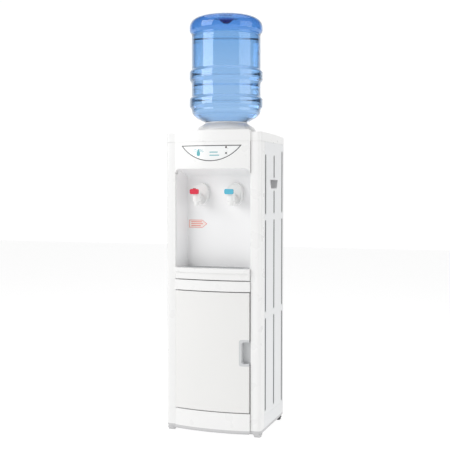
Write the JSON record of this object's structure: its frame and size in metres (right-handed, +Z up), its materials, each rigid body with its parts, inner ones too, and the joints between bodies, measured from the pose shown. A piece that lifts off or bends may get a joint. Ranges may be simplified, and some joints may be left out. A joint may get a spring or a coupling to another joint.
{
  "type": "water dispenser",
  "caption": "Floor-standing top-loading hot and cold water dispenser with an inverted blue bottle, lever taps in an alcove, pull-out drip tray and storage cupboard.",
  "frame": {"origin": "on the floor under the middle of the whole object's box", "axes": "+X to the user's right as they face the front, -Y out of the front towards the user, +Z up"},
  "size_m": [0.33, 0.3, 1.389],
  "materials": {
    "white_moulding": "satin moulded ABS",
    "door_white": "satin moulded ABS, a little greyer than the frame",
    "side_white": "powder-coated sheet",
    "liner_white": "vacuum-formed, satin",
    "base_grey": "light grey moulding",
    "pull_grey": "light grey moulding",
    "handle_grey": "mid grey moulding",
    "grille_grey": "mid grey moulding",
    "black_plastic": "fine spark-eroded texture",
    "window_grey": "dark printed border",
    "window_white": "back-printed clear lens",
    "red_light": "unlit dark red lens",
    "green_light": "unlit dark green lens",
    "hot_red": "glossy red",
    "catch_red": "glossy darker red",
    "cold_blue": "glossy sky blue",
    "silicone_grey": "food-grade silicone",
    "galvanised_sheet": "light grey coated sheet",
    "plated_steel": "zinc plated",
    "bottle_blue": "clear blue polycarbonate",
    "cap_blue": "soft polyethylene snap cap",
    "stainless": "drawn stainless steel",
    "foam_cream": "expanded foam shell",
    "mica_band": "mica-insulated heater band",
    "tube_clear": "silicone hose",
    "ceramic_white": "ceramic plates with a metal core",
    "sink_aluminium": "extruded, mill finish",
    "board_green": "solder-masked board",
    "switch_red": "glossy rocker",
    "switch_green": "glossy rocker"
  },
  "bodies": {
    "cabinet": {"front_feet": "base_grey", "rear_feet": "black_plastic", "base_tray": "base_grey", "left_front_pillar": "white_moulding", "right_front_pillar": "white_moulding", "left_side_panel": "side_white", "right_side_panel": "side_white", "left_handle_cup": "handle_grey", "right_handle_cup": "handle_grey", "rear_panel": "galvanised_sheet", "top_cover": "white_moulding", "upper_fascia": "white_moulding", "window_frame": "window_grey", "indicator_window": "window_white", "heating_light": "red_light", "cooling_light": "green_light", "alcove_liner": "liner_white", "hot_escutcheon": "white_moulding", "cold_escutcheon": "white_moulding", "hot_tap_body": "white_moulding", "cold_tap_body": "white_moulding", "tap_nuts": "plated_steel", "mid_rail": "white_moulding", "kick_panel": "white_moulding", "door_catch": "black_plastic", "cabinet_liner": "liner_white", "works_deck": "galvanised_sheet", "bottle_seat": "white_moulding", "bottle_probe": "white_moulding", "cold_tank": "stainless", "cold_tank_foam": "foam_cream", "hot_tank": "stainless", "heater_band": "mica_band", "thermostats": "black_plastic", "water_tubes": "tube_clear", "drain_outlet": "white_moulding", "cooling_module": "ceramic_white", "heat_sink": "sink_aluminium", "fan_frame": "black_plastic", "control_board": "board_green", "switch_frame": "black_plastic", "cord_gland": "black_plastic", "rear_screws": "plated_steel"},
    "door": {"door_shell": "door_white", "door_lining": "liner_white", "door_pull": "pull_grey", "door_hinge_pins": "plated_steel"},
    "hot_lever": {"hot_lever": "hot_red"},
    "safety_catch": {"safety_catch": "catch_red"},
    "cold_lever": {"cold_lever": "cold_blue"},
    "hot_stem": {"hot_valve_stem": "silicone_grey"},
    "cold_stem": {"cold_valve_stem": "silicone_grey"},
    "tray": {"drip_tray": "white_moulding"},
    "grille": {"drip_grille": "grille_grey"},
    "bottle": {"water_bottle": "bottle_blue", "bottle_cap": "cap_blue"},
    "fan": {"fan_rotor": "black_plastic"},
    "heating_rocker": {"heating_switch": "switch_red"},
    "cooling_rocker": {"cooling_switch": "switch_green"},
    "drain_plug": {"drain_cap": "silicone_grey"}
  },
  "joints": [
    {"name": "door_hinge", "type": "hinge", "parent": "cabinet", "child": "door", "pos_m": [-0.123, -0.1245, 0.276], "axis": [0, 0, -1], "range_deg": [0, 110]},
    {"name": "hot_lever_press", "type": "hinge", "parent": "cabinet", "child": "hot_lever", "pos_m": [-0.06, -0.118, 0.798], "axis": [1, 0, 0], "range_deg": [0, 14], "stiffness_Nm_per_rad": 0.6, "springref_deg": -5.73},
    {"name": "cold_lever_press", "type": "hinge", "parent": "cabinet", "child": "cold_lever", "pos_m": [0.06, -0.118, 0.798], "axis": [1, 0, 0], "range_deg": [0, 14], "stiffness_Nm_per_rad": 0.6, "springref_deg": -5.73},
    {"name": "hot_stem_lift", "type": "slide", "parent": "cabinet", "child": "hot_stem", "axis": [0, 0, 1], "range_m": [0, 0.0021]},
    {"name": "cold_stem_lift", "type": "slide", "parent": "cabinet", "child": "cold_stem", "axis": [0, 0, 1], "range_m": [0, 0.0021]},
    {"name": "safety_catch_press", "type": "slide", "parent": "hot_lever", "child": "safety_catch", "axis": [0, 0, -1], "range_m": [0, 0.003], "stiffness_N_per_m": 300, "springref_m": -0.002},
    {"name": "drip_tray_slide", "type": "slide", "parent": "cabinet", "child": "tray", "axis": [0, -1, 0], "range_m": [0, 0.09]},
    {"name": "drip_grille_lift", "type": "slide", "parent": "tray", "child": "grille", "axis": [0, 0, 1], "range_m": [0, 0.03]},
    {"name": "bottle_lift", "type": "slide", "parent": "cabinet", "child": "bottle", "axis": [0, 0, 1], "range_m": [0, 0.15]},
    {"name": "fan_spin", "type": "hinge", "parent": "cabinet", "child": "fan", "pos_m": [0, 0.1365, 0.8485], "axis": [0, 1, 0], "continuous": true},
    {"name": "heating_rocker_tilt", "type": "hinge", "parent": "cabinet", "child": "heating_rocker", "pos_m": [-0.095, 0.1435, 0.8805], "axis": [1, 0, 0], "range_deg": [0, 16]},
    {"name": "cooling_rocker_tilt", "type": "hinge", "parent": "cabinet", "child": "cooling_rocker", "pos_m": [-0.095, 0.1435, 0.8465], "axis": [1, 0, 0], "range_deg": [0, 16]},
    {"name": "drain_cap_pull", "type": "slide", "parent": "cabinet", "child": "drain_plug", "axis": [0, 1, 0], "range_m": [0, 0.02]}
  ],
  "couplings": [
    {"joint": "hot_stem_lift", "follows": "hot_lever_press", "m_per_rad": 0.008},
    {"joint": "cold_stem_lift", "follows": "cold_lever_press", "m_per_rad": 0.008}
  ]
}
